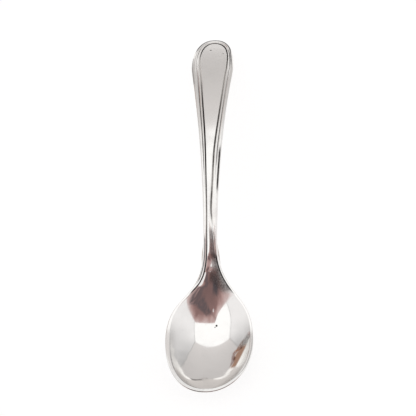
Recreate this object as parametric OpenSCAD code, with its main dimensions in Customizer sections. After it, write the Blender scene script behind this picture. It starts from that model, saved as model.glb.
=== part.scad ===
// Salt spoon with an egg-shaped bowl and a thread-bordered handle.
// It lies on a table, bowl up: x runs across, y from the bowl's tip to the handle's end, z up.
// "d" is always the distance from the bowl's tip along the spoon.

/* [Overall] */
// Length from the bowl's tip to the handle's end
spoon_l = 75; // [65:0.5:90]
// Height of the handle's border at the top of its arch
arch_h = 9.9; // [8.5:0.1:12]
// Distance of the top of the arch from the bowl's tip
arch_at = 50.5; // [47:0.5:54]

/* [Bowl] */
// Width of the bowl
bowl_w = 16.55; // [13:0.05:20]
// Distance of the widest place from the bowl's tip
bowl_peak = 10.3; // [8.5:0.1:12.5]
// Depth of the hollow below the rim
bowl_depth = 3.95; // [3.2:0.05:4.8]
// Thickness of the raised sheet
sheet_t = 0.7; // [0.55:0.01:0.9]
// Width of the flat rim band
rim_w = 0.7; // [0.5:0.01:0.9]
// How far use has pulled the bowl's tip to the left
bowl_lean = 0.7; // [0:0.1:1.5]
// How far use has bent the neck to the right
neck_bend = 0.43; // [0:0.01:0.8]
// Depth worn off the bowl's back, which leaves a small flat to rest on
wear = 0.12; // [0.08:0.01:0.2]

/* [Stem and handle] */
// Distance of the handle's butt face from the bowl's tip
stem_at = 29.8; // [26.5:0.1:33.5]
// Width of the stem at its narrowest
stem_w = 2.7; // [2.3:0.05:3.3]
// Thickness of the stem at the butt
stem_t = 2.2; // [1.9:0.05:2.7]
// Width of the handle's end
handle_w = 8.2; // [6.5:0.1:10]
// Thickness of the handle's end
handle_t = 1.1; // [0.9:0.05:1.4]
// Length of the rounded end
end_l = 8.75; // [7:0.05:10]

/* [Thread border] */
// Width of the border round the handle's end
thread_w = 1.25; // [1:0.05:1.5]
// Width of the border on the stem
stem_thread_w = 0.88; // [0.7:0.01:1]
// Depth of the inner groove
inner_groove = 0.22; // [0.1:0.01:0.3]
// Depth of the outer groove
outer_groove = 0.12; // [0.05:0.01:0.2]

/* [Soldered joint] */
// Length of the drop, the tongue that laps under the bowl
drop_l = 10.5; // [8:0.1:12]
// Width of the drop at its round end
drop_w = 3.4; // [2.8:0.1:4]
// Thickness of the drop near its round end
drop_t = 0.55; // [0.45:0.01:0.7]
// Thickness of the bowl's neck above the drop
neck_t = 1.05; // [0.9:0.01:1.2]
// Thickness of the solder film
solder_t = 0.15; // [0.1:0.01:0.2]

/* [Hidden] */
silver = [0.83, 0.82, 0.8];
solder_grey = [0.74, 0.73, 0.71];

// Clearance on each face of the solder film
seat_gap = 0.02;
joint_gap = solder_t + 2 * seat_gap;
neck_end = stem_at - joint_gap;
end_at = spoon_l - end_l;
drop_at = stem_at - drop_l;

// Heights of the square edge below the rim or border
bowl_side = 0.45;
stem_side = 1;
end_side = 0.6;
drop_side = 0.25;
// Small step that keeps the drop inside the stem's sides
drop_step = 0.06;

// Roundness of the bowl's tip and the handle's end, where 2 is an ellipse
bowl_round = 2.12;
end_round = 2.4;
// Pull of the outline's curves on either side of the neck, as shares of their runs
shoulder_pull = [0.52, 0.59];
stem_pull = [0.515, 0.07];
// Rise of the stem's panel above its grooves, lift of the bowl's tip, and squareness of its hollow there
crown = 0.13;
tip_lift = 0.65;
tip_square = 0.38;
// Rounding of the outer edge of the rim and of the thread border, and its share of their width
rim_drop = 0.15;
thread_drop = 0.3;
rounded_share = 0.25;
// Places of the two grooves and half the width of each, as shares of the border's width
outer_groove_at = 0.54;
inner_groove_at = 0.88;
groove_half = 0.12;
// Steepness of the hollow and of the back at the bowl's tip, and of the handle at its end, as multiples
// of depth over length
hollow_start = 2.7;
back_start = 1.9;
end_start = 1.68;
// Length over which the neck's bend fades to either side
bend_l = 5;

// Counts of rows along each stretch and of columns across
tip_n = 14;
shoulder_n = 24;
stem_n = 24;
end_n = 14;
drop_n = 14;
panel_n = 10;
band_shares = [
    0, 0.1, rounded_share, outer_groove_at - groove_half, outer_groove_at, outer_groove_at + groove_half,
    inner_groove_at - groove_half, inner_groove_at, 1];
band_n = len(band_shares);
across_n = 2 * band_n + panel_n - 2;

function along(a, b, f) = a + f * (b - a);
function clamp(v, low, high) = min(max(v, low), high);
function smooth(t) = let (c = clamp(t, 0, 1)) c * c * (3 - 2 * c);
function unit(v) = v / norm(v);

// Smooth spline through [d, value] knots: slopes that give even bending, by repeated averaging
function knot_slope(k, m, i) =
    let (before = k[i].x - k[i - 1].x, after = k[i + 1].x - k[i].x)
    let (fall = (k[i].y - k[i - 1].y) / (before * before), rise = (k[i + 1].y - k[i].y) / (after * after))
    (3 * (fall + rise) - m[i - 1] / before - m[i + 1] / after) / (2 / before + 2 / after);
function even_slopes(k, m, rounds = 30) =
    rounds == 0 ? m : even_slopes(
        k, [for (i = [0:len(k) - 1]) i == 0 || i == len(k) - 1 ? m[i] : knot_slope(k, m, i)], rounds - 1);
function slopes(k, first, last) =
    even_slopes(k, [for (i = [0:len(k) - 1]) i == 0 ? first : i == len(k) - 1 ? last : 0]);
function spline(k, m, d) =
    let (i = max([for (j = [0:len(k) - 2]) if (j == 0 || d >= k[j].x) j]))
    let (h = k[i + 1].x - k[i].x, t = clamp((d - k[i].x) / h, 0, 1))
    along(k[i].y, k[i + 1].y, t * t * (3 - 2 * t))
    + h * t * (1 - t) * (m[i] * (1 - t) - m[i + 1] * t);

// Height of the rim and, past the neck, of the thread border
rim_h = bowl_depth + sheet_t - wear;
edge_knots = [
    [0, rim_h + tip_lift],
    [bowl_peak, rim_h],
    [along(bowl_peak, stem_at, 0.5), along(rim_h, arch_h, -0.02)],
    [along(bowl_peak, stem_at, 0.77), along(rim_h, arch_h, 0.155)],
    [stem_at, along(rim_h, arch_h, 0.414)],
    [along(stem_at, arch_at, 0.35), along(rim_h, arch_h, 0.736)],
    [arch_at, arch_h],
    [along(arch_at, spoon_l, 0.47), along(arch_h, end_side, 0.203)],
    [spoon_l, end_side],
];
edge_slopes = slopes(edge_knots, 0, -end_start * (arch_h - end_side) / (spoon_l - arch_at));
function edge_z(d) = spline(edge_knots, edge_slopes, d);

// Depth of the middle below the rim: the bowl's hollow, which runs out on the neck, then the crowned panel
hollow_knots = [
    [rim_w, 0],
    [0.32 * bowl_peak, 0.533 * bowl_depth],
    [0.42 * bowl_peak, 0.68 * bowl_depth],
    [bowl_peak, bowl_depth],
    [along(bowl_peak, stem_at, 0.4), 0.575 * bowl_depth],
    [along(bowl_peak, stem_at, 0.61), 0.165 * bowl_depth],
    [along(bowl_peak, stem_at, 0.75), 0],
];
hollow_slopes = slopes(hollow_knots, hollow_start * bowl_depth / bowl_peak, 0);
crown_start = along(bowl_peak, stem_at, 0.53);
function crown_at(d) =
    crown * smooth((d - crown_start) / (stem_at - crown_start))
    * (1 - smooth((d - arch_at) / (spoon_l - thread_w - arch_at)));
function hollow(d) = spline(hollow_knots, hollow_slopes, d) - crown_at(d);

// Depth of the bowl's back below its lower edge, which keeps the sheet's thickness
function wall_t(d) = along(sheet_t, neck_t, smooth((d - bowl_peak) / (stem_at - bowl_peak)));
back_places = concat([for (i = [1:len(hollow_knots) - 1]) hollow_knots[i].x], [stem_at]);
bowl_back_knots = concat([[0, 0]], [for (d = back_places) [d, hollow(d) + wall_t(d) - bowl_side]]);
bowl_back_slopes = slopes(bowl_back_knots, back_start * bowl_depth / bowl_peak, 0);
function bowl_back_depth(d) = spline(bowl_back_knots, bowl_back_slopes, d);

// Depth of the handle's back below its lower edge
handle_back_knots = [
    [stem_at, stem_t + hollow(stem_at) - stem_side],
    [end_at, handle_t - end_side],
    [spoon_l, 0],
];
handle_back_slopes = slopes(handle_back_knots, 0, -2 * (handle_t - end_side) / end_l);
function handle_back_depth(d) = spline(handle_back_knots, handle_back_slopes, d);
function handle_side(d) = along(stem_side, end_side, (d - stem_at) / (spoon_l - stem_at));

// Right-hand outline as [half width, d]; s runs 0 to 2 over each piece
function bezier(a, b, c, e, t) =
    pow(1 - t, 3) * a + 3 * t * pow(1 - t, 2) * b + 3 * t * t * (1 - t) * c + pow(t, 3) * e;
function tip_curve(t) =
    [bowl_w / 2 * pow(sin(90 * t), 2 / bowl_round), bowl_peak * (1 - pow(cos(90 * t), 2 / bowl_round))];
function shoulder_curve(t) =
    let (run = neck_end - bowl_peak)
    bezier(
        [bowl_w / 2, bowl_peak], [bowl_w / 2, bowl_peak + shoulder_pull[0] * run],
        [stem_w / 2, neck_end - shoulder_pull[1] * run], [stem_w / 2, neck_end], t);
function stem_curve(t) =
    let (run = end_at - stem_at)
    bezier(
        [stem_w / 2, stem_at], [stem_w / 2, stem_at + stem_pull[0] * run],
        [handle_w / 2, end_at - stem_pull[1] * run], [handle_w / 2, end_at], t);
function end_curve(t) =
    [handle_w / 2 * pow(cos(90 * t), 2 / end_round), end_at + end_l * pow(sin(90 * t), 2 / end_round)];
function bowl_edge(s) = s <= 1 ? tip_curve(s) : shoulder_curve(s - 1);
function handle_edge(s) = s <= 1 ? stem_curve(s) : end_curve(s - 1);

// Direction of the outline, exact at the ends
nudge = 0.0005;
function bowl_dir(s) =
    s == 0 ? [1, 0] : s == 2 ? [0, 1] : unit(bowl_edge(s + nudge) - bowl_edge(s - nudge));
function handle_dir(s) =
    s == 0 ? [0, 1] : s == 2 ? [-1, 0] : unit(handle_edge(s + nudge) - handle_edge(s - nudge));
function inset(p, dir, e) = [p.x - e * dir.y, p.y + e * dir.x];

// Width of the rim band and of the thread border that grows out of it
shoulder_at = along(bowl_peak, stem_at, 0.5);
function bowl_band(d) =
    along(rim_w, stem_thread_w, smooth((d - shoulder_at) / (stem_at - shoulder_at)));
function handle_band(d) =
    along(stem_thread_w, thread_w, smooth((d - stem_at) / (end_at - stem_at)));

// Relief across the band at a share q of its width, 0 at the outer edge and 1 at the panel
thread_start = along(bowl_peak, stem_at, 0.53);
thread_full = along(bowl_peak, stem_at, 0.8);
outer_start = along(stem_at, arch_at, 0.35);
outer_full = along(stem_at, arch_at, 0.9);
function groove(q, middle) =
    let (off = abs(q - middle) / groove_half)
    off < 1 ? (1 + cos(180 * off)) / 2 : 0;
function edge_round(q) = pow(max(0, 1 - q / rounded_share), 2);
function relief(q, d) =
    let (thread = smooth((d - thread_start) / (thread_full - thread_start)))
    let (outer = smooth((d - outer_start) / (outer_full - outer_start)))
    -along(rim_drop, thread_drop, thread) * edge_round(q)
    - thread * inner_groove * groove(q, inner_groove_at)
    - thread * outer * outer_groove * groove(q, outer_groove_at);

// Points of the spoon from a place across, a distance along and a height, with the bends left by use
bend_at = along(bowl_peak, stem_at, 0.55);
function bends(d) =
    neck_bend * exp(-pow((d - bend_at) / bend_l, 2)) - bowl_lean * pow(max(0, 1 - d / bowl_peak), 2);
function point(x, d, z) = [x + bends(d), d - spoon_l / 2, z];
// Rise of a cross-section from its middle, at 0, to its sides, at 1
function swell(u, d) = along(pow(u, 2), pow(u, 4), tip_square * (1 - smooth(d / bowl_peak)));
across = [for (j = [0:across_n]) 1 - 2 * j / across_n];

function band_row(p, dir, band, side) = [
    for (q = band_shares)
        let (e = inset(p, dir, q * band))
        point(side * e.x, e.y, edge_z(e.y) + relief(q, e.y))];
function panel_row(c) = [
    for (k = [1:panel_n - 1])
        let (u = 1 - 2 * k / panel_n)
        point(u * c.x, c.y, edge_z(c.y) - hollow(c.y) * (1 - swell(u, c.y)))];
function reversed(v) = [for (i = [len(v) - 1:-1:0]) v[i]];
function front_row(p, dir, band) = concat(
    band_row(p, dir, band, 1),
    panel_row(inset(p, dir, band)),
    reversed(band_row(p, dir, band, -1)));

function bowl_back_z(u, d) = edge_z(d) - bowl_side - bowl_back_depth(d) * (1 - swell(u, d));
function handle_back_z(u, d) = edge_z(d) - handle_side(d) - handle_back_depth(d) * (1 - swell(u, d));
function bowl_back_row(p) = [for (u = across) point(u * p.x, p.y, bowl_back_z(u, p.y))];
function handle_back_row(p) = [for (u = across) point(u * p.x, p.y, handle_back_z(u, p.y))];

// Half width of the bowl's shoulder at a distance along, by halving
function shoulder_share(d, low = 0, high = 1, rounds = 24) =
    let (mid = (low + high) / 2)
    rounds == 0 ? mid
    : shoulder_curve(mid).y < d ? shoulder_share(d, mid, high, rounds - 1)
    : shoulder_share(d, low, mid, rounds - 1);
function shoulder_half(d) = d >= neck_end ? stem_w / 2 : shoulder_curve(shoulder_share(d)).x;

// The drop: its outline, and its top and back, which follow the bowl's back
drop_r = drop_w / 2;
butt_half = stem_w / 2 - drop_step;
function drop_half(d) =
    let (a = d - drop_at)
    a < drop_r ? sqrt(max(0, a * (2 * drop_r - a)))
    : along(drop_r, butt_half, smooth((a - drop_r) / (drop_l - drop_r)));
function lap_z(x, d, below) = bowl_back_z(x / shoulder_half(d), d) - below;
butt_t = stem_t - neck_t - joint_gap;
butt_side = stem_side - bowl_side - joint_gap;
function drop_side_t(d) = along(drop_side, butt_side, smooth((d - drop_at) / drop_l));
function drop_middle_t(d) =
    let (side = drop_side_t(d), rounding = d - drop_at < drop_r ? drop_half(d) / drop_r : 1)
    along(side, along(drop_t, butt_t, smooth((d - drop_at) / drop_l)), rounding);
function drop_back_z(u, d) =
    let (half = drop_half(d), middle = lap_z(0, d, joint_gap) - drop_middle_t(d))
    along(middle, lap_z(half, d, joint_gap) - drop_side_t(d), swell(u, d));
lap_stations = concat(
    [for (k = [0:drop_n]) drop_at + drop_r * (1 - cos(90 * k / drop_n))],
    [for (k = [1:drop_n]) along(drop_at + drop_r, neck_end, k / (drop_n + 1))]);
function lap_row(d, below) =
    [for (u = across) let (x = u * drop_half(d)) point(x, d, lap_z(x, d, below))];
function drop_back_row(d) = [for (u = across) point(u * drop_half(d), d, drop_back_z(u, d))];
// Row where the lap turns up into the butt, under the columns of the stem's front
stem_front = front_row([stem_w / 2, stem_at], [0, 1], stem_thread_w);
function turn_row(d, below) = [
    for (p = stem_front) let (x = clamp(p.x, -butt_half, butt_half)) point(x, d, lap_z(x, d, below))];
turn_d = (lap_stations[len(lap_stations) - 1] + neck_end) / 2;

// Closed solid between a front grid and a back grid of equal counts, with a flat far end if wanted
module closed_loft(front, back, capped) {
    rows = len(front);
    cols = across_n + 1;
    back_from = rows * cols;
    function f(i, j) = i * cols + j;
    function b(i, j) = back_from + i * cols + j;
    function split(v) = [[v[0], v[1], v[2]], [v[0], v[2], v[3]]];
    skin = [for (i = [0:rows - 2]) for (j = [0:cols - 2])
        each concat(
            split([f(i, j), f(i, j + 1), f(i + 1, j + 1), f(i + 1, j)]),
            split([b(i, j), b(i + 1, j), b(i + 1, j + 1), b(i, j + 1)]))];
    walls = [for (i = [0:rows - 2])
        each concat(
            split([f(i, 0), f(i + 1, 0), b(i + 1, 0), b(i, 0)]),
            split([f(i, cols - 1), b(i, cols - 1), b(i + 1, cols - 1), f(i + 1, cols - 1)]))];
    last = rows - 1;
    cap = [for (j = [0:cols - 2]) if (capped)
        each split([f(last, j), f(last, j + 1), b(last, j + 1), b(last, j)])];
    polyhedron([each each front, each each back], concat(skin, walls, cap));
}

// Raised sheet bowl with its rim band and neck, worn flat where it rests
module bowl() {
    stations = concat([for (k = [0:tip_n]) k / tip_n], [for (k = [1:shoulder_n]) 1 + k / shoulder_n]);
    edges = [for (s = stations) bowl_edge(s)];
    dirs = [for (s = stations) bowl_dir(s)];
    color(silver)
        difference() {
            closed_loft(
                [for (i = [0:len(edges) - 1]) front_row(edges[i], dirs[i], bowl_band(edges[i].y))],
                [for (p = edges) bowl_back_row(p)], true);
            translate([-bowl_w, -spoon_l, -bowl_depth]) cube([2 * bowl_w, 2 * spoon_l, bowl_depth]);
        }
}

// Struck stem and handle with the thread border, drawn out below into the drop
module handle() {
    stations = concat([for (k = [0:stem_n]) k / stem_n], [for (k = [1:end_n]) 1 + k / end_n]);
    edges = [for (s = stations) handle_edge(s)];
    dirs = [for (s = stations) handle_dir(s)];
    color(silver)
        closed_loft(
            concat(
                [for (d = lap_stations) lap_row(d, joint_gap)],
                [turn_row(stem_at, joint_gap)],
                [for (i = [0:len(edges) - 1]) front_row(edges[i], dirs[i], handle_band(edges[i].y))]),
            concat(
                [for (d = lap_stations) drop_back_row(d)],
                [drop_back_row(turn_d)],
                [for (p = edges) handle_back_row(p)]), false);
}

// Film of hard solder: a sheet in the lap that turns up into the butt
module solder_seam() {
    film_top = seat_gap;
    film_base = seat_gap + solder_t;
    butt_stations = [neck_end + seat_gap, stem_at - seat_gap];
    color(solder_grey)
        closed_loft(
            concat(
                [for (d = lap_stations) lap_row(d, film_top)],
                [turn_row(butt_stations[0], film_top)],
                [for (d = butt_stations) front_row([stem_w / 2, d], [0, 1], stem_thread_w)]),
            concat(
                [for (d = lap_stations) lap_row(d, film_base)],
                [lap_row(turn_d, film_base)],
                [for (d = butt_stations) turn_row(d, film_base)]), true);
}

bowl();
handle();
solder_seam();
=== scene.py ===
import math

import bpy
import numpy as np
from mathutils import Matrix, Vector


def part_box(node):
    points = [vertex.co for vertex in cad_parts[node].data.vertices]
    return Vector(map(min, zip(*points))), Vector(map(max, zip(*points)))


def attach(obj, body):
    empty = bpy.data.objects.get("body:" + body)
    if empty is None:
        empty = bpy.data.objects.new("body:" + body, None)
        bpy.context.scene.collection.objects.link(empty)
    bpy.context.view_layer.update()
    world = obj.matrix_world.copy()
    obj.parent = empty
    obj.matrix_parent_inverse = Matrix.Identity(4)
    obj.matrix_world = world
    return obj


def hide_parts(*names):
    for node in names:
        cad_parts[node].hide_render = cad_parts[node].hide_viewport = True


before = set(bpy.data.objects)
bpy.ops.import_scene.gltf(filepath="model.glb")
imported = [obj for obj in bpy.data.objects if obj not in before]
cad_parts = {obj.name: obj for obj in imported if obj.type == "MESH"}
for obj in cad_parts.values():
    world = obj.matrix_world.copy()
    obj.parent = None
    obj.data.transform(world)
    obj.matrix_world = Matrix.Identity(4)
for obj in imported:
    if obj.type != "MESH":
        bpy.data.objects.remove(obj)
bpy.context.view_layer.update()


# The bowl
# Raised from thin silver sheet, with its rim filed to a flat band and its back worn flat where it rests.
# Its neck is soldered to the stem and filed flush, so the front shows no seam.
mm = 0.001
bowl_low, bowl_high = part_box("bowl")
handle_low, handle_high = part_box("handle")
spoon_l = handle_high.y - bowl_low.y
bowl_w = bowl_high.x - bowl_low.x
joint_gap = 0.19 * mm
stem_at = bowl_high.y - bowl_low.y + joint_gap
bowl_peak = 10.3 * mm
bowl_depth = 3.95 * mm
bowl_lean = 0.7 * mm
neck_bend = 0.43 * mm
bend_l = 5 * mm
bowl_round = 2.12
shoulder_pull = (0.52, 0.59)
sheet_t = 0.7 * mm
neck_t = 1.05 * mm
wear = 0.12 * mm
rim_w = 0.7 * mm
rim_drop = 0.15 * mm
rim_round = 0.25
rim_h = bowl_depth + sheet_t - wear
tip_lift = 0.65 * mm
bowl_side = 0.45 * mm
hollow_start = 2.7
back_start = 1.9
tip_square = 0.38

arch_h = 9.9 * mm
arch_at = 50.5 * mm
end_start = 1.68
end_side = 0.6 * mm
stem_w = 2.7 * mm
thread_w = 1.25 * mm
thread_drop = 0.3 * mm
thread_round = 0.6
inner_groove = 0.36 * mm
inner_groove_at = 0.88
outer_groove = 0.3 * mm
outer_groove_at = 0.52
groove_half = 0.17
crown = 0.13 * mm
end_l = 8.75 * mm
end_at = spoon_l - end_l


def between(a, b, share):
    return a + share * (b - a)


def smooth(t):
    c = np.clip(t, 0, 1)
    return c * c * (3 - 2 * c)


def spline(knots, first, last):
    """Even curve through (place, value) knots, with the slopes given at its two ends."""
    place, value = np.array(knots).T
    step = np.diff(place)
    slope = np.diff(value) / step
    count = len(place)
    system = np.eye(count)
    wanted = np.zeros(count)
    wanted[0], wanted[-1] = first, last
    for i in range(1, count - 1):
        system[i, i - 1:i + 2] = 1 / step[i - 1], 2 / step[i - 1] + 2 / step[i], 1 / step[i]
        wanted[i] = 3 * (slope[i - 1] / step[i - 1] + slope[i] / step[i])
    bend = np.linalg.solve(system, wanted)

    def curve(d):
        i = np.clip(np.searchsorted(place, d, side="right") - 1, 0, count - 2)
        t = np.clip((d - place[i]) / step[i], 0, 1)
        straight = between(value[i], value[i + 1], t * t * (3 - 2 * t))
        return straight + step[i] * t * (1 - t) * (bend[i] * (1 - t) - bend[i + 1] * t)

    return curve


def neck_share(share):
    return between(bowl_peak, stem_at, share)


edge_height = spline([
    (0, rim_h + tip_lift),
    (bowl_peak, rim_h),
    (neck_share(0.5), between(rim_h, arch_h, -0.02)),
    (neck_share(0.77), between(rim_h, arch_h, 0.155)),
    (stem_at, between(rim_h, arch_h, 0.414)),
    (between(stem_at, arch_at, 0.35), between(rim_h, arch_h, 0.736)),
    (arch_at, arch_h),
    (between(arch_at, spoon_l, 0.47), between(arch_h, end_side, 0.203)),
    (spoon_l, end_side),
], 0, -end_start * (arch_h - end_side) / (spoon_l - arch_at))

hollow_knots = [
    (rim_w, 0),
    (0.32 * bowl_peak, 0.543 * bowl_depth),
    (0.42 * bowl_peak, 0.68 * bowl_depth),
    (bowl_peak, bowl_depth),
    (neck_share(0.4), 0.575 * bowl_depth),
    (neck_share(0.61), 0.165 * bowl_depth),
    (neck_share(0.75), 0),
]
hollow_curve = spline(hollow_knots, hollow_start * bowl_depth / bowl_peak, 0)
crown_start = neck_share(0.53)


def hollow_depth(d):
    """Depth of the middle below the rim: the bowl's hollow, then the handle's slightly crowned panel."""
    begun = smooth((d - crown_start) / (stem_at - crown_start))
    ended = smooth((d - arch_at) / (spoon_l - thread_w - arch_at))
    return hollow_curve(d) - crown * begun * (1 - ended)


def sheet_below(d):
    return between(sheet_t, neck_t, smooth((d - bowl_peak) / (stem_at - bowl_peak))) - bowl_side


back_places = [d for d, _ in hollow_knots[1:]] + [stem_at]
bowl_back_depth = spline(
    [(0, 0)] + [(d, hollow_depth(d) + sheet_below(d)) for d in back_places],
    back_start * bowl_depth / bowl_peak, 0)


def swell(u, d):
    """Rise of a cross-section from its middle, at 0, to its sides, at 1, squarer towards the bowl's tip."""
    return between(u**2, u**4, tip_square * (1 - smooth(d / bowl_peak)))


def bowl_back_height(u, d):
    return edge_height(d) - bowl_side - bowl_back_depth(d) * (1 - swell(u, d))


def groove(q, middle, half):
    off = np.clip(np.abs(q - middle) / half, 0, 1)
    return (1 + np.cos(np.pi * off)) / 2


thread_start, thread_full = neck_share(0.53), neck_share(0.8)
outer_start = between(stem_at, arch_at, 0.35)
outer_full = between(stem_at, arch_at, 0.9)


def thread_strength(d):
    return smooth((d - thread_start) / (thread_full - thread_start))


def outer_strength(d):
    return thread_strength(d) * smooth((d - outer_start) / (outer_full - outer_start))


def relief(q, d, kept):
    """Height of the border at a share q of its width, where a kept share of its grooves is left."""
    round_share = between(rim_round, thread_round, thread_strength(d))
    edge_round = np.clip(1 - q / round_share, 0, 1) ** 2
    return (
        -between(rim_drop, thread_drop, thread_strength(d)) * edge_round
        - kept * thread_strength(d) * inner_groove * groove(q, inner_groove_at, groove_half)
        - kept * outer_strength(d) * outer_groove * groove(q, outer_groove_at, groove_half))


def edge_spread(count):
    """Places from -1 to 1 that lie closer together towards both ends."""
    v = np.linspace(-1, 1, count)
    return 0.2 * v + 0.8 * np.sin(np.pi / 2 * v)


band_shares = np.linspace(0, 1, 34)
panel_shares = edge_spread(123)[1:-1][::-1]

left_band = spline([
    (0, rim_w),
    (bowl_peak, 0.84 * mm),
    (neck_share(0.43), 0.46 * mm),
    (neck_share(0.53), 0.58 * mm),
    (neck_share(0.6), 0.8 * mm),
    (neck_share(0.7), 0.87 * mm),
    (stem_at, 0.8 * mm),
    (34 * mm, 0.82 * mm),
    (41 * mm, 0.93 * mm),
    (arch_at, 1.3 * mm),
    (58 * mm, 1.55 * mm),
    (end_at, 1.8 * mm),
    (72 * mm, 1.4 * mm),
    (spoon_l, 1.45 * mm),
], 0, 0)
right_band = spline([
    (0, rim_w),
    (bowl_peak, 0.56 * mm),
    (neck_share(0.43), 0.42 * mm),
    (neck_share(0.7), 0.62 * mm),
    (stem_at, 0.62 * mm),
    (35 * mm, 1.4 * mm),
    (38 * mm, 1.45 * mm),
    (43 * mm, 1.47 * mm),
    (47 * mm, 1.57 * mm),
    (arch_at, 1.5 * mm),
    (61 * mm, 1.48 * mm),
    (65 * mm, 1.58 * mm),
    (71 * mm, 1.15 * mm),
    (74 * mm, 1.3 * mm),
    (spoon_l, 1.45 * mm),
], 0, 0)
polished_at = 31.8 * mm
polished_l = 1.5 * mm
polished_off = 0.85


def right_kept(d):
    """Share of the right-hand grooves that polishing has left, least where the stem is narrowest."""
    return 1 - polished_off * np.exp(-(((d - polished_at) / polished_l) ** 2))


def border_rows(edge, way, band, kept):
    """Rim or thread border down the right-hand side, from the outer edge inwards."""
    inward = np.column_stack((-way[:, 1], way[:, 0]))
    place = edge[:, None] + band_shares[:, None] * (band[:, None] * inward)[:, None]
    height = edge_height(place[..., 1]) + relief(band_shares, place[..., 1], kept[:, None])
    return np.dstack((place[..., 0], place[..., 1], height))


def stretch(d, start, end, soft):
    """1 from start to end, fading to 0 over a soft length beyond each."""
    return smooth((d - start) / soft + 1) * smooth((end - d) / soft + 1)


def front_swell(u, d):
    """Swell of the front, with the wall a little flatter just inside the lip, most on the right."""
    lip_from = 0.75
    ease = np.where(u > 0, 0.9, 0.4) * stretch(d, 4.5 * mm, 7.5 * mm, 1.7 * mm)
    eased = swell(u, d) - ease * np.clip(np.abs(u) - lip_from, 0, None) ** 2
    return eased / (1 - ease * (1 - lip_from) ** 2)


def neck_step(from_left, d):
    """Depth of the low step inside the left border of the neck."""
    widest = stretch(d, 24.8 * mm, 26.5 * mm, 1.2 * mm)
    depth = between(0.12, 0.19, widest) * mm * stretch(d, 22.2 * mm, 26 * mm, 1.3 * mm)
    flank = smooth(from_left / (between(0.4, 0.85, widest) * mm))
    return depth * flank * (1 - smooth(from_left / (2.4 * mm)))


def front_rows(edge, way):
    """Front of each cross-section, from right to left: border, hollow or panel, border."""
    d = edge[:, 1]
    right = border_rows(edge, way, right_band(d), right_kept(d))
    left = border_rows(edge, way, left_band(d), np.ones(len(d))) * (-1, 1, 1)
    across = between(left[:, -1:], right[:, -1:], (panel_shares[:, None] + 1) / 2)
    d = across[..., 1]
    across[..., 2] = edge_height(d) - hollow_depth(d) * (1 - front_swell(panel_shares, d))
    across[..., 2] -= neck_step(across[..., 0] - left[:, -1:, 0], d)
    return np.concatenate((right, across, left[:, ::-1]), axis=1)


back_shares = edge_spread(81)


def back_rows(edge, height):
    """Back of each cross-section, from left to right."""
    x = back_shares * edge[:, :1]
    d = np.broadcast_to(edge[:, 1:], x.shape)
    return np.dstack((x, d, height(back_shares, d)))


wall_shares = np.linspace(0, 1, 12)[1:-1]
soft_passes = 8


def loops(front, back):
    """Closed cross-sections from their fronts and backs, with every edge eased."""
    left_wall = between(front[:, -1:], back[:, :1], wall_shares[:, None])
    right_wall = between(back[:, -1:], front[:, :1], wall_shares[:, None])
    rows = np.concatenate((front, left_wall, back, right_wall), axis=1)
    for _ in range(soft_passes):
        rows = rows / 2 + (np.roll(rows, 1, axis=1) + np.roll(rows, -1, axis=1)) / 4
    return rows


def bezier(a, b, c, e, t):
    t = t[:, None]
    return (1 - t) ** 3 * a + 3 * t * (1 - t) ** 2 * b + 3 * t**2 * (1 - t) * c + t**3 * e


def tip_curve(t):
    half = bowl_w / 2 * np.sin(np.pi / 2 * t) ** (2 / bowl_round)
    return np.column_stack((half, bowl_peak * (1 - np.cos(np.pi / 2 * t) ** (2 / bowl_round))))


def shoulder_curve(t):
    run = stem_at - joint_gap - bowl_peak
    ends = np.array([(bowl_w / 2, bowl_peak), (stem_w / 2, bowl_peak + run)])
    pulls = ends + np.array([(0, shoulder_pull[0] * run), (0, -shoulder_pull[1] * run)])
    return bezier(ends[0], pulls[0], pulls[1], ends[1], t)


def directions(curve, t):
    """Unit directions of an outline, taken from a small step to either side."""
    step = 0.0005
    way = curve(np.minimum(t + step, 1)) - curve(np.maximum(t - step, 0))
    return way / np.linalg.norm(way, axis=1)[:, None]


end_lean = 0.3 * mm
end_lean_at = 66 * mm
end_lean_l = 9 * mm


def place_on_spoon(rows):
    """From distances along the spoon to the shared frame, with the bends that use has left."""
    d = rows[..., 1]
    at_bowl = -bowl_lean * np.clip(1 - d / bowl_peak, 0, 1) ** 2
    at_neck = neck_bend * np.exp(-(((d - neck_share(0.55)) / bend_l) ** 2))
    at_end = end_lean * np.clip((d - end_lean_at) / end_lean_l, 0, 1) ** 2
    return np.dstack((rows[..., 0] + at_bowl + at_neck + at_end, d + bowl_low.y, rows[..., 2]))


def metal_mesh(name, rows, marks, open_ends):
    """Closed mesh of one piece from its cross-sections, with doubled points merged and open ends capped."""
    points = rows.reshape(-1, 3)
    same_point = 0.0001 * mm
    _, kept, merged = np.unique(
        np.round(points / same_point), axis=0, return_index=True, return_inverse=True)
    number = merged.reshape(rows.shape[:2])
    after = np.roll(number, -1, axis=1)
    quads = np.stack((number[:-1], number[1:], after[1:], after[:-1]), axis=-1).reshape(-1, 4)
    faces = [list(dict.fromkeys(quad)) for quad in quads.tolist()]
    faces = [face for face in faces if len(face) > 2]
    for end in open_ends:
        faces.append((number[end] if end else number[end][::-1]).tolist())
    mesh = bpy.data.meshes.new(name)
    mesh.from_pydata(points[kept].tolist(), [], faces)
    for mark, values in marks.items():
        layer = mesh.attributes.new(mark, "FLOAT", "POINT")
        layer.data.foreach_set("value", values.reshape(-1)[kept])
    mesh.validate()
    mesh.shade_smooth()
    mesh.set_sharp_from_angle(angle=math.radians(40))
    piece = bpy.data.objects.new(name, mesh)
    bpy.context.scene.collection.objects.link(piece)
    return piece


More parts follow.
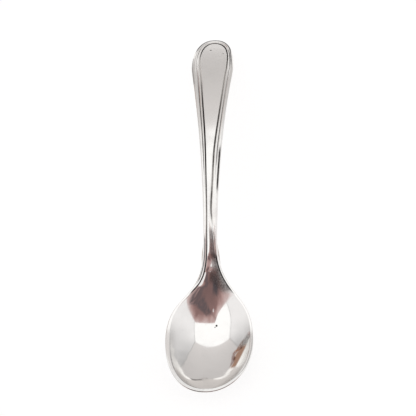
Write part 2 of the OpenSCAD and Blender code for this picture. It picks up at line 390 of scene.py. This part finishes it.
left_dirt = spline([
    (0, 1.5),
    (25 * mm, 1.9),
    (30 * mm, 0.85),
    (36 * mm, 0.6),
    (40 * mm, 1),
    (46 * mm, 2),
    (58 * mm, 1.7),
    (end_at + 3 * mm, 0.7),
    (spoon_l, 2.6),
], 0, 0)
right_dirt = spline([
    (0, 1),
    (neck_share(0.6), 1.6),
    (28.5 * mm, 0.1),
    (38 * mm, 1.2),
    (41.5 * mm, 0.8),
    (45 * mm, 1.5),
    (arch_at, 1.8),
    (56 * mm, 1.2),
    (end_at, 0.95),
    (spoon_l, 2.6),
], 0, 0)


def handle_tip(d):
    """0 along the spoon, rising to 1 round the tip of the handle."""
    return smooth((d - 70 * mm) / (3 * mm))


def border_dirt(q, d, band, kept):
    """Tarnish in the struck grooves, and a thin film of it on the rim at the bowl's tip."""
    half = between(0.13, 0.22, handle_tip(d)) * mm / band
    inner = smooth((d - neck_share(0.46)) / (1.5 * mm)) * groove(q, inner_groove_at, half)
    outer = outer_strength(d) * (1 - handle_tip(d)) * groove(q, outer_groove_at, 0.09 * mm / band)
    lip = 0.15 * (1 - smooth((d - 3 * mm) / (4 * mm)))
    return kept * np.maximum.reduce([inner, outer, np.broadcast_to(lip, inner.shape)])


def wall_streak(rows):
    """1 along a slanting line on the right wall of the bowl, fading to 0 on either side of it."""
    x, d, _ = np.moveaxis(rows, 2, 0)
    belly = 0.18 * mm * stretch(d, 7.4 * mm, 8.4 * mm, 0.8 * mm)
    middle = 4.85 * mm + 0.45 * (d - 6 * mm) - belly
    return 1 - smooth((np.abs(x - middle) - 0.3 * mm - belly) / (0.38 * mm))


def right_border_marks(q, d):
    """Right marks: tarnished grooves, tip and neck; painted dark reflections on the arch's outer edge and on
    the rim.
    """
    grooves = border_dirt(q, d, right_band(d), right_kept(d)) * right_dirt(d)
    # Painted reflection of something dark along the outer edge of the arch.
    painted_arch_reflection = 1.2 * stretch(d, 40.5 * mm, 46 * mm, 2.5 * mm) * groove(q, 0.2, 0.2)
    brim_at = between(0.33, 0.15, handle_tip(d))
    brim = between(0.8, 1.6, handle_tip(d)) * smooth((d - 65 * mm) / (4 * mm)) * groove(q, brim_at, 0.18)
    # Painted reflection of something dark: a thin line on the rim, from its inner edge to its middle.
    rim_line_at = between(1, 0.45, smooth((d - 2 * mm) / (3 * mm)))
    painted_rim_reflection = 0.45 * (1 - smooth((d - 11 * mm) / (2 * mm))) * groove(q, rim_line_at, 0.3)
    stain = 1.05 * smooth((q - 0.5) / 0.3) * stretch(d, 20.8 * mm, 26.5 * mm, 0.8 * mm)
    return np.maximum.reduce([grooves, painted_arch_reflection, brim, painted_rim_reflection, stain])


def left_border_marks(q, d):
    """Left marks: tarnished grooves, edge, tip and neck; a painted dark reflection on the rim, painted shade
    on the neck's edge.
    """
    grooves = border_dirt(q, d, left_band(d), 1) * left_dirt(d)
    edge_line = 0.55 * stretch(d, 62 * mm, 68.5 * mm, 1 * mm) * (1 - smooth(q / 0.28))
    brim = 1.6 * handle_tip(d) * groove(q, 0.15, 0.18)
    # Painted reflection of something dark: a thin line at the inner edge of the rim.
    painted_rim_reflection = 0.6 * (1 - smooth((d - 5 * mm) / (5 * mm))) * groove(q, 1, 0.3)
    # Painted shade on the rounded outer edge of the neck.
    painted_edge_shade = 1.05 * stretch(d, 22.5 * mm, 29.5 * mm, 1.5 * mm) * groove(q, 0.4, 0.18)
    neck_line = groove(q, inner_groove_at, 0.21 * mm / left_band(d))
    neck_line = 1.5 * stretch(d, 20.5 * mm, 24.8 * mm, 1.2 * mm) * neck_line
    return np.maximum.reduce([grooves, edge_line, brim, painted_rim_reflection, painted_edge_shade, neck_line])


def wall_marks(rows, right_x, left_x):
    """Tarnish between the borders: a film below the rim, a patch on the neck, a streak on the right wall."""
    x, d, _ = np.moveaxis(rows, 2, 0)
    film = (1 - smooth(np.minimum(x - left_x, right_x - x) / (1.5 * mm))) * smooth(np.abs(x) / (5 * mm))
    film = 0.3 * film * (1 - smooth((d - bowl_peak) / (4 * mm)))
    u = panel_shares
    neck_from = between(22.8 * mm, 21 * mm, smooth(u / 0.6))
    neck_side = between(-0.5, -0.1, stretch(d, 24.5 * mm, 26.5 * mm, 1 * mm))
    neck = between(0.55, 0.75, smooth((u - 0.3) / 0.4)) * smooth((u - neck_side) / 0.3)
    neck = neck * stretch(d, neck_from, 30.8 * mm, 1.5 * mm)
    neck = neck * (1 - smooth((u - 0.7) / 0.25) * smooth((d - 26.5 * mm) / (2 * mm)))
    streak = 0.55 * wall_streak(rows) * stretch(d, 10 * mm, 11.3 * mm, 0.9 * mm)
    return np.maximum.reduce([film, neck, streak])


def tarnish_and_painted_shade_marks(rows):
    """Strength of tarnished marks, painted reflections and painted shade at every point of the
    cross-sections; sides and back have none.
    """
    right, wall, left, rest = np.split(rows, np.cumsum([
        len(band_shares), len(panel_shares), len(band_shares)]), axis=1)
    return np.concatenate((
        right_border_marks(band_shares, right[..., 1]),
        wall_marks(wall, right[:, -1:, 0], left[:, :1, 0]),
        left_border_marks(band_shares[::-1], left[..., 1]),
        np.zeros(rest.shape[:2])), axis=1)


def brown_marks(rows):
    """Strength of the brown colour along a slanting line on the lower right wall of the bowl."""
    return wall_streak(rows) * stretch(rows[..., 1], 5.8 * mm, 9.3 * mm, 0.8 * mm)


tip_t = np.linspace(0, 1, 90)
shoulder_t = np.linspace(0, 1, 111)[1:]
bowl_edge = np.concatenate((tip_curve(tip_t), shoulder_curve(shoulder_t), [(stem_w / 2, stem_at)]))
bowl_way = np.concatenate((
    directions(tip_curve, tip_t), directions(shoulder_curve, shoulder_t), [(0, 1)]))
bowl_way[0] = 1, 0
bowl_rows = loops(front_rows(bowl_edge, bowl_way), back_rows(bowl_edge, bowl_back_height))
bowl_rows[..., 2] = np.maximum(bowl_rows[..., 2], 0)
bowl_marks = {"tarnish_and_painted_shade": tarnish_and_painted_shade_marks(bowl_rows), "brown": brown_marks(bowl_rows)}
bowl = metal_mesh("silver_bowl", place_on_spoon(bowl_rows), bowl_marks, [-1])


def node(tree, kind, inputs=(), **settings):
    """Add a shader node, set its options, and fill its inputs with values or links."""
    made = tree.nodes.new(kind)
    for option, value in settings.items():
        setattr(made, option, value)
    for place, value in dict(inputs).items():
        if isinstance(value, bpy.types.NodeSocket):
            tree.links.new(value, made.inputs[place])
        else:
            made.inputs[place].default_value = value
    return made


def calc(tree, operation, a, b=0.0):
    return node(tree, "ShaderNodeMath", {0: a, 1: b}, operation=operation).outputs[0]


def rise(tree, value, low, high):
    """0 up to low, 1 from high on, and an even passage between them."""
    passage = node(
        tree, "ShaderNodeMapRange", {0: value, 1: low, 2: high}, interpolation_type="SMOOTHSTEP")
    return passage.outputs[0]


def mixed(tree, mask, a, b):
    return node(tree, "ShaderNodeMix", {0: mask, 6: a, 7: b}, data_type="RGBA").outputs[2]


def scaled(tree, colour, level):
    return node(tree, "ShaderNodeVectorMath", {0: colour, 3: level}, operation="SCALE").outputs[0]


def noise(tree, place, scale, detail):
    cloud = node(tree, "ShaderNodeTexNoise", {"Vector": place, "Scale": scale, "Detail": detail})
    return cloud.outputs["Fac"]


def apart(tree, a, b):
    return node(tree, "ShaderNodeVectorMath", {0: a, 1: b}, operation="DISTANCE").outputs["Value"]


silver_wear = bpy.data.node_groups.new("silver wear", "ShaderNodeTree")
# The mask of tarnished marks also carries painted reflections and painted shade, in the same dark colour.
wear_inputs = {
    "Silver": "Color", "Tarnish": "Color", "Tarnished and painted shade": "Float", "Polish": "Float", "Haze": "Float"}
wear_outputs = {"Color": "Color", "Roughness": "Float", "Height": "Float"}
for way, sockets in ("INPUT", wear_inputs), ("OUTPUT", wear_outputs):
    for socket, kind in sockets.items():
        silver_wear.interface.new_socket(socket, in_out=way, socket_type="NodeSocket" + kind)
given = node(silver_wear, "NodeGroupInput").outputs
in_mm = scaled(silver_wear, node(silver_wear, "ShaderNodeTexCoord").outputs["Object"], 1000)
clouds = noise(silver_wear, in_mm, 0.4, 4)
ripple = noise(silver_wear, in_mm, 0.3, 1)
grain = noise(silver_wear, in_mm, 3.5, 3)


def scratched(turn, stretched, sparse):
    """Fine scratches that run one way: 1 in a scratch, 0 beside it."""
    turned = node(silver_wear, "ShaderNodeMapping", {
        "Vector": in_mm, "Rotation": (0, 0, turn), "Scale": stretched})
    return rise(silver_wear, noise(silver_wear, turned.outputs[0], 1, 2), sparse, sparse + 0.06)


scratches = calc(
    silver_wear, "MAXIMUM", scratched(0.5, (9, 0.4, 9), 0.64), scratched(-0.9, (8, 0.5, 8), 0.66))
cells = node(silver_wear, "ShaderNodeTexVoronoi", {"Vector": in_mm, "Scale": 0.8})
chosen = node(silver_wear, "ShaderNodeSeparateColor", {0: cells.outputs["Color"]}).outputs[0]
few = calc(silver_wear, "MULTIPLY", rise(silver_wear, chosen, 0.7, 0.75), given["Haze"])
pits = calc(silver_wear, "MULTIPLY", rise(silver_wear, cells.outputs["Distance"], 0.11, 0.05), few)
haze = calc(silver_wear, "MULTIPLY", rise(silver_wear, clouds, 0.4, 0.75), given["Haze"])
patchy = calc(silver_wear, "ADD", 0.55, calc(silver_wear, "MULTIPLY", grain, 0.9))
stained_and_painted_shade = node(silver_wear, "ShaderNodeMath", {
    0: given["Tarnished and painted shade"], 1: patchy}, operation="MULTIPLY", use_clamp=True).outputs[0]


def weighed_sum(a, weight_a, b, weight_b):
    first = calc(silver_wear, "MULTIPLY", a, weight_a)
    return calc(silver_wear, "ADD", first, calc(silver_wear, "MULTIPLY", b, weight_b))


shade = weighed_sum(haze, 0.12, pits, 0.3)
worn = mixed(silver_wear, stained_and_painted_shade, given["Silver"], given["Tarnish"])
worn = scaled(silver_wear, worn, calc(silver_wear, "SUBTRACT", 1.0, shade))
dulled = weighed_sum(haze, 0.2, stained_and_painted_shade, 0.25)
dulled = calc(silver_wear, "ADD", dulled, calc(silver_wear, "MULTIPLY", scratches, 0.06))
sunk = weighed_sum(scratches, 0.06, pits, 0.4)
node(silver_wear, "NodeGroupOutput", {
    "Color": worn,
    "Roughness": calc(silver_wear, "ADD", given["Polish"], dulled),
    "Height": calc(silver_wear, "SUBTRACT", ripple, sunk),
})

brown_tone = (0.34, 0.21, 0.155, 1)
bump_h = 0.012 * mm


def silver_material(name, silver, tarnish_and_painted_shade, polish, haze, spots):
    """Worn silver; each spot is a small dark dot at a place, in mm, with its radius."""
    material = bpy.data.materials.new(name)
    material.use_nodes = True
    tree = material.node_tree
    surface = tree.nodes["Principled BSDF"]
    surface.inputs["Metallic"].default_value = 1
    # This mark holds tarnished places and also painted reflections and painted shade.
    mark = node(tree, "ShaderNodeAttribute", attribute_name="tarnish_and_painted_shade").outputs["Fac"]
    wear_of = node(tree, "ShaderNodeGroup", {
        "Silver": silver, "Tarnish": tarnish_and_painted_shade, "Tarnished and painted shade": mark, "Polish": polish, "Haze": haze,
    }, node_tree=silver_wear).outputs
    colour = wear_of["Color"]
    place = scaled(tree, node(tree, "ShaderNodeTexCoord").outputs["Object"], 1000)
    brown = node(tree, "ShaderNodeAttribute", attribute_name="brown").outputs["Fac"]
    colour = mixed(tree, brown, colour, brown_tone)
    for middle, radius in spots:
        spot = rise(tree, apart(tree, place, middle), radius, radius / 2)
        colour = mixed(tree, spot, colour, tarnish_and_painted_shade)
    tree.links.new(colour, surface.inputs["Base Color"])
    tree.links.new(wear_of["Roughness"], surface.inputs["Roughness"])
    bump = node(tree, "ShaderNodeBump", {
        "Height": wear_of["Height"], "Strength": 1.0, "Distance": bump_h})
    tree.links.new(bump.outputs[0], surface.inputs["Normal"])
    return material


black = (0.035, 0.03, 0.03, 1)
bowl_tone = (0.94, 0.925, 0.905, 1)
bowl_spots = [
    ((1.25, -23.1, 0.95), 0.26),
    ((0.95, -23.4, 0.95), 0.18),
]
bowl.data.materials.append(silver_material(
    "polished silver", bowl_tone, black, polish=0.05, haze=0.3, spots=bowl_spots))
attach(bowl, "root")
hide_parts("bowl")


# The handle
# Forged stem and handle of silver with the double thread border struck into its front. Its bowl end is
# drawn out into a rounded tongue, the drop, which is soldered under the back of the bowl.
handle_w = handle_high.x - handle_low.x
drop_at = handle_low.y - bowl_low.y
drop_l = stem_at - drop_at
drop_r = 1.7 * mm
drop_t = 0.55 * mm
drop_side = 0.25 * mm
drop_step = 0.06 * mm
stem_t = 2.2 * mm
stem_side = 1 * mm
handle_t = 1.1 * mm
end_round = 2.4
stem_pull = (0.515, 0.07)

handle_back_depth = spline(
    [(stem_at, stem_t + hollow_depth(stem_at) - stem_side), (end_at, handle_t - end_side), (spoon_l, 0)],
    0, -2 * (handle_t - end_side) / end_l)


def handle_back_height(u, d):
    side = between(stem_side, end_side, (d - stem_at) / (spoon_l - stem_at))
    return edge_height(d) - side - handle_back_depth(d) * (1 - swell(u, d))


def stem_curve(t):
    run = end_at - stem_at
    ends = np.array([(stem_w / 2, stem_at), (handle_w / 2, end_at)])
    pulls = ends + np.array([(0, stem_pull[0] * run), (0, -stem_pull[1] * run)])
    return bezier(ends[0], pulls[0], pulls[1], ends[1], t)


def end_curve(t):
    half = handle_w / 2 * np.cos(np.pi / 2 * t) ** (2 / end_round)
    return np.column_stack((half, end_at + end_l * np.sin(np.pi / 2 * t) ** (2 / end_round)))


def bowl_half(d):
    return np.interp(d, bowl_edge[:, 1], bowl_edge[:, 0])


def lap_height(x, d):
    """Top of the drop, a solder film below the back of the bowl."""
    return bowl_back_height(x / bowl_half(d), d) - joint_gap


def drop_half(d):
    a = d - drop_at
    round_end = np.sqrt(np.clip(a * (2 * drop_r - a), 0, None))
    taper = between(drop_r, stem_w / 2 - drop_step, smooth((a - drop_r) / (drop_l - drop_r)))
    return np.where(a < drop_r, round_end, taper)


def drop_back_height(u, d):
    share = smooth((d - drop_at) / drop_l)
    side_t = between(drop_side, stem_side - bowl_side - joint_gap, share)
    full_t = between(drop_t, stem_t - neck_t - joint_gap, share)
    middle_t = between(side_t, full_t, np.where(d - drop_at < drop_r, drop_half(d) / drop_r, 1))
    middle = lap_height(0, d) - middle_t
    return between(middle, lap_height(drop_half(d), d) - side_t, swell(u, d))


stem_t_rows = np.linspace(0, 1, 150)
end_t_rows = np.linspace(0, 1, 81)[1:]
handle_edge = np.concatenate((stem_curve(stem_t_rows), end_curve(end_t_rows)))
handle_way = np.concatenate((directions(stem_curve, stem_t_rows), directions(end_curve, end_t_rows)))
handle_way[-1] = -1, 0
handle_front = front_rows(handle_edge, handle_way)
handle_back = back_rows(handle_edge, handle_back_height)

round_d = drop_at + drop_r * (1 - np.cos(np.linspace(0, np.pi / 2, 25)))
drop_d = np.concatenate((round_d, np.linspace(drop_at + drop_r, stem_at, 40)[1:]))
drop_edge = np.column_stack((drop_half(drop_d), drop_d))
front_shares = handle_front[0, :, 0] / handle_front[0, 0, 0]
lap_x = front_shares * drop_edge[:, :1]
lap_d = np.broadcast_to(drop_edge[:, 1:], lap_x.shape)
drop_front = np.dstack((lap_x, lap_d, lap_height(lap_x, lap_d)))
drop_back = back_rows(drop_edge, drop_back_height)
handle_rows = loops(
    np.concatenate((drop_front, handle_front)), np.concatenate((drop_back, handle_back)))
handle = metal_mesh(
    "silver_handle", place_on_spoon(handle_rows), {"tarnish_and_painted_shade": tarnish_and_painted_shade_marks(handle_rows)}, [])
handle_tone = (0.945, 0.93, 0.905, 1)
handle_spots = [
    ((-0.49, 34.0, 2.85), 0.22),
    ((2.0, 32.9, 3.55), 0.16),
    ((-3.1, 31.8, 4.2), 0.16),
]
handle.data.materials.append(silver_material(
    "struck silver", handle_tone, black, polish=0.17, haze=0.5, spots=handle_spots))
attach(handle, "root")
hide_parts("handle")


# The solder seam
# Film of hard silver solder in the lap under the bowl. Only its small fillet shows, round the drop, so only
# the fillet is made here.
bead_w = 0.28 * mm
bead_h = 0.3 * mm
side_d = np.linspace(stem_at - joint_gap, drop_at + drop_r, 40)[:-1]
turn = np.linspace(0, np.pi, 49)
right_side = np.column_stack((drop_half(side_d), side_d))
round_tip = np.column_stack((drop_r * np.cos(turn), drop_at + drop_r - drop_r * np.sin(turn)))
left_side = right_side[::-1] * (-1, 1)
seam_path = np.concatenate((right_side, round_tip, left_side))
seam_way = np.gradient(seam_path, axis=0)
seam_way /= np.linalg.norm(seam_way, axis=1)[:, None]
outward = np.column_stack((-seam_way[:, 1], seam_way[:, 0]))
fade = smooth((stem_at - joint_gap - seam_path[:, 1]) / (3 * mm))
bead_turn = np.linspace(0, np.pi / 2, 9)
bead_out = np.concatenate(([-0.5], 1 - np.sin(bead_turn), [-0.5]))
bead_down = np.concatenate(([0], 1 - np.cos(bead_turn), [1]))
reach = bead_w * between(0.15, 1, fade)[:, None] * bead_out
spot = seam_path[:, None] + reach[..., None] * outward[:, None]
sink = joint_gap + (bead_h - joint_gap) * fade[:, None]
seam_z = bowl_back_height(spot[..., 0] / bowl_half(spot[..., 1]), spot[..., 1]) - sink * bead_down
seam_rows = np.dstack((spot[..., 0], spot[..., 1], seam_z))
seam = metal_mesh("solder_fillet", place_on_spoon(seam_rows), {}, [0, -1])
solder_tone = (0.83, 0.81, 0.77, 1)
solder_dark = (0.2, 0.19, 0.18, 1)
seam.data.materials.append(silver_material(
    "solder", solder_tone, solder_dark, polish=0.22, haze=1.0, spots=[]))
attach(seam, "root")
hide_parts("solder_seam")


# The table
# A plain white sheet that the spoon lies on, bright enough to look white to the camera and in the silver.
table_half = 120 * mm
table_back = 72 * mm
table_sink = 0.01 * mm
paper_glow = 0.82
paper_tone = (0.3, 0.3, 0.3, 1)
table_mesh = bpy.data.meshes.new("table")
table_mesh.from_pydata([
    (-table_half, -table_half, -table_sink),
    (table_half, -table_half, -table_sink),
    (table_half, table_back, -table_sink),
    (-table_half, table_back, -table_sink),
], [], [(0, 1, 2, 3)])
table = bpy.data.objects.new("table", table_mesh)
bpy.context.scene.collection.objects.link(table)
paper = bpy.data.materials.new("white paper")
paper.use_nodes = True
paper_tree = paper.node_tree
paper_tree.nodes.clear()
path = node(paper_tree, "ShaderNodeLightPath")
seen = calc(paper_tree, "MAXIMUM", path.outputs["Is Camera Ray"], path.outputs["Is Glossy Ray"])
seen = calc(paper_tree, "MAXIMUM", seen, path.outputs["Is Transmission Ray"])
white = node(paper_tree, "ShaderNodeEmission", {"Strength": calc(paper_tree, "MULTIPLY", seen, paper_glow)})
matt = node(paper_tree, "ShaderNodeBsdfDiffuse", {"Color": paper_tone})
lit = node(paper_tree, "ShaderNodeAddShader", {0: matt.outputs[0], 1: white.outputs[0]})
node(paper_tree, "ShaderNodeOutputMaterial", {"Surface": lit.outputs[0]})
table_mesh.materials.append(paper)


# The light
# A white cloth tent lit from outside: a bright roof, leaning sides and a back that dim towards the table, a
# gap at the back left and a dark warm opening in front. Each direction has the colour of what it meets.
tent = bpy.data.worlds.new("light tent")
bpy.context.scene.world = tent
tent.use_nodes = True
sky = tent.node_tree
sky.nodes.clear()
right_reach, right_lean = 0.5, 0.36
left_reach, left_lean = 0.78, 0.52
back_reach = 0.48
toward = node(sky, "ShaderNodeTexCoord").outputs["Generated"]
to_x, to_y, to_z = node(sky, "ShaderNodeSeparateXYZ", {0: toward}).outputs
past_right = calc(sky, "SUBTRACT", to_x, calc(sky, "MULTIPLY", to_z, right_lean))
past_left = calc(sky, "ADD", to_x, calc(sky, "MULTIPLY", to_z, left_lean))
to_right = calc(sky, "DIVIDE", past_right, right_reach)
to_left = calc(sky, "DIVIDE", past_left, -left_reach)
to_side = calc(sky, "MAXIMUM", to_right, to_left)
to_back = calc(sky, "DIVIDE", to_y, back_reach)
to_end = calc(sky, "MAXIMUM", to_back, to_z)
nearest = calc(sky, "MAXIMUM", to_side, to_end)
wall_y = calc(sky, "DIVIDE", to_y, nearest)
wall_z = calc(sky, "DIVIDE", to_z, nearest)

# Roof, sides and back, with a darker fold where a side meets the others.
roof_tone = (1.08, 1.08, 1.08, 1)
side_tone = (1, 0.99, 0.995)
back_tone = (1, 0.965, 0.955)
past_end = calc(sky, "SUBTRACT", to_side, to_end)
is_side = rise(sky, past_end, -0.02, 0.02)
is_back = rise(sky, calc(sky, "SUBTRACT", to_back, calc(sky, "MAXIMUM", to_side, to_z)), -0.05, 0.05)
fold = rise(sky, calc(sky, "ABSOLUTE", past_end), 0.06, 0.0)
below_roof = calc(sky, "POWER", calc(sky, "SUBTRACT", 1.0, rise(sky, wall_z, 0.0, 1.0)), 1.5)
side_dim = calc(sky, "MULTIPLY", rise(sky, wall_y, -0.1, 0.45), calc(sky, "MULTIPLY", below_roof, 0.3))
corner_dim = calc(sky, "MULTIPLY", rise(sky, wall_y, 0.22, 0.47), 0.14)
side_level = calc(sky, "SUBTRACT", calc(sky, "SUBTRACT", 0.91, side_dim), corner_dim)
back_level = node(sky, "ShaderNodeMapRange", {0: wall_z, 1: 0.1, 2: 1.0, 3: 0.59, 4: 0.74}).outputs[0]
walls = mixed(sky, is_side, roof_tone, scaled(sky, side_tone, side_level))
walls = mixed(sky, is_back, walls, scaled(sky, back_tone, back_level))
walls = scaled(sky, walls, calc(sky, "SUBTRACT", 1.0, calc(sky, "MULTIPLY", fold, 0.32)))


def toned(share, tones):
    """Colour that passes through tones along a share, each tone given with its place."""
    ramp = node(sky, "ShaderNodeValToRGB", {0: share})
    stops = ramp.color_ramp.elements
    for stop, (place, tone) in zip(stops, (tones[0], tones[-1])):
        stop.position = place
        stop.color = tone
    for place, tone in tones[1:-1]:
        stops.new(place).color = tone
    return ramp.outputs[0]


# The gap at the back left, with an uneven upper edge.
uneven = calc(sky, "SUBTRACT", noise(sky, toward, 5.0, 2.0), 0.5)
behind = calc(sky, "MAXIMUM", to_y, 0.01)
aside = calc(sky, "DIVIDE", to_x, behind)
gap_fall = calc(sky, "MULTIPLY", calc(sky, "POWER", calc(sky, "ADD", aside, 1.7), 2.0), 0.45)
gap_top = calc(sky, "SUBTRACT", 0.55, gap_fall)
gap_top = calc(sky, "ADD", gap_top, calc(sky, "MULTIPLY", uneven, 0.2))
gap = rise(sky, calc(sky, "SUBTRACT", gap_top, calc(sky, "DIVIDE", to_z, behind)), 0.0, 0.1)
gap_share = node(sky, "ShaderNodeMapRange", {0: aside, 1: -3.0, 2: -1.0}).outputs[0]
walls = mixed(sky, gap, walls, toned(gap_share, [
    (0.2, (0.22, 0.205, 0.2, 1)),
    (0.5, (0.29, 0.23, 0.21, 1)),
    (0.75, (0.34, 0.18, 0.12, 1)),
    (0.9, (0.31, 0.22, 0.2, 1)),
    (1.0, (0.34, 0.26, 0.25, 1)),
]))


def inside(a, b, c):
    """How far a direction lies inside a plane through the eye, from the plane's three shares."""
    upright = calc(sky, "ADD", calc(sky, "MULTIPLY", to_z, c), calc(sky, "MULTIPLY", to_y, b))
    return calc(sky, "ADD", calc(sky, "MULTIPLY", to_x, a), upright)


# The opening in front, between two flaps, darker the deeper it is looked into.
low_flap = calc(sky, "MINIMUM", inside(0.5, -1, -0.126), calc(sky, "SUBTRACT", to_z, 0.1))
flap = calc(sky, "MAXIMUM", low_flap, inside(1.08, -1, 0.107))
opening = calc(sky, "MINIMUM", inside(0, -1, -0.135), calc(sky, "MINIMUM", inside(-0.7, -1, 0.43), flap))
inner = toned(calc(sky, "ADD", opening, calc(sky, "MULTIPLY", uneven, 0.25)), [
    (0.0, (0.6, 0.47, 0.46, 1)),
    (0.1, (0.46, 0.31, 0.295, 1)),
    (0.2, (0.27, 0.165, 0.155, 1)),
    (0.5, (0.2, 0.125, 0.12, 1)),
])

# A dark streak, a darker blot and one small bright spot inside the opening.
streak_tone = (0.13, 0.1, 0.105, 1)
blot_tone = (0.08, 0.07, 0.078, 1)
bright_tone = (0.9, 0.88, 0.9, 1)
bright_way = (-0.133, -0.355, 0.925)
streak = calc(sky, "ADD", inside(0.54, 1, 0.22), calc(sky, "MULTIPLY", uneven, 0.1))
streak_edge = calc(sky, "SUBTRACT", -0.1, calc(sky, "MULTIPLY", to_z, 0.06))
streak_mask = rise(sky, calc(sky, "SUBTRACT", streak, streak_edge), -0.04, 0.04)
fine = noise(sky, toward, 14.0, 2.0)
for value, low, high in (streak, 0.08, 0.02), (to_z, 0.97, 0.93), (to_x, 0.83, 0.79), (fine, 0.2, 0.55):
    streak_mask = calc(sky, "MULTIPLY", streak_mask, rise(sky, value, low, high))
inner = mixed(sky, streak_mask, inner, streak_tone)
blot_edge = calc(sky, "ADD", to_y, calc(sky, "MULTIPLY", uneven, 0.15))
blot = calc(sky, "MULTIPLY", rise(sky, to_x, -0.62, -0.45), rise(sky, to_x, 0.05, -0.15))
blot = calc(sky, "MULTIPLY", blot, rise(sky, blot_edge, -0.5, -0.56))
inner = mixed(sky, blot, inner, blot_tone)
bright_spot = rise(sky, apart(sky, toward, bright_way), 0.035, 0.015)
inner = mixed(sky, bright_spot, inner, bright_tone)
walls = mixed(sky, rise(sky, opening, -0.015, 0.015), walls, inner)
sky_path = node(sky, "ShaderNodeLightPath")
shown = mixed(sky, sky_path.outputs["Is Camera Ray"], walls, (1, 1, 1, 1))
tent_light = node(sky, "ShaderNodeBackground", {"Color": shown, "Strength": 1.0})
node(sky, "ShaderNodeOutputWorld", {"Surface": tent_light.outputs[0]})


# The camera
# Looks down on the spoon from the bowl's end, a little from its right, through a long lens.
view_rise = math.radians(68)
view_turn = math.radians(5)
view_roll = math.radians(4.605)
view_far = 400 * mm
aim = Vector((0, 0, 4 * mm))
slide_right = -0.574 * mm
slide_up = -0.253 * mm
ahead = Vector((
    -math.sin(view_turn) * math.cos(view_rise),
    math.cos(view_turn) * math.cos(view_rise),
    -math.sin(view_rise)))
level_right = Vector((math.cos(view_turn), math.sin(view_turn), 0))
level_up = level_right.cross(ahead)
right = level_right * math.cos(view_roll) - level_up * math.sin(view_roll)
up = level_right * math.sin(view_roll) + level_up * math.cos(view_roll)
lens = bpy.data.cameras.new("camera")
lens.lens = 180.04
lens.sensor_width = 36
lens.clip_start = 0.01
camera = bpy.data.objects.new("camera", lens)
bpy.context.scene.collection.objects.link(camera)
eye = aim - ahead * view_far + right * slide_right + up * slide_up
camera.matrix_world = Matrix.Translation(eye) @ Matrix((right, up, -ahead)).transposed().to_4x4()
bpy.context.scene.camera = camera
bpy.context.scene.view_settings.view_transform = "Standard"
